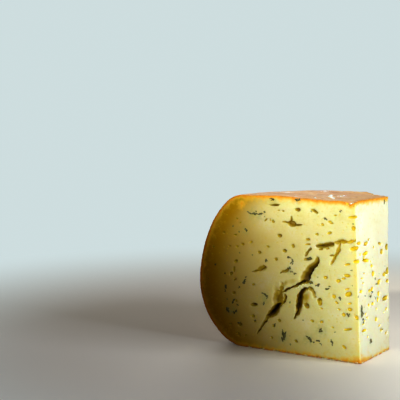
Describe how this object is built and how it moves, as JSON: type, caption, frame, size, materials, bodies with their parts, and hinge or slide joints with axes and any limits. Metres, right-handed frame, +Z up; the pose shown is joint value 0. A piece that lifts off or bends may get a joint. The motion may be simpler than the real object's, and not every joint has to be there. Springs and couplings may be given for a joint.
{
  "type": "piece of herbed mahon cheese",
  "caption": "Cut piece of a herbed, cushion-shaped semi-hard cheese with an orange rind, small eyes and torn cracks, lying on its foot.",
  "frame": {"origin": "under the middle of the piece's bounding box, on the surface it rests on", "axes": "+Z up; the large cut face looks along -Y, with the knife's near corner at its +X end and the bulging rind at its -X end"},
  "size_m": [0.097, 0.0896, 0.0825],
  "materials": {
    "cheese": "satin"
  },
  "bodies": {
    "root": {"cheese": "cheese"}
  },
  "joints": []
}
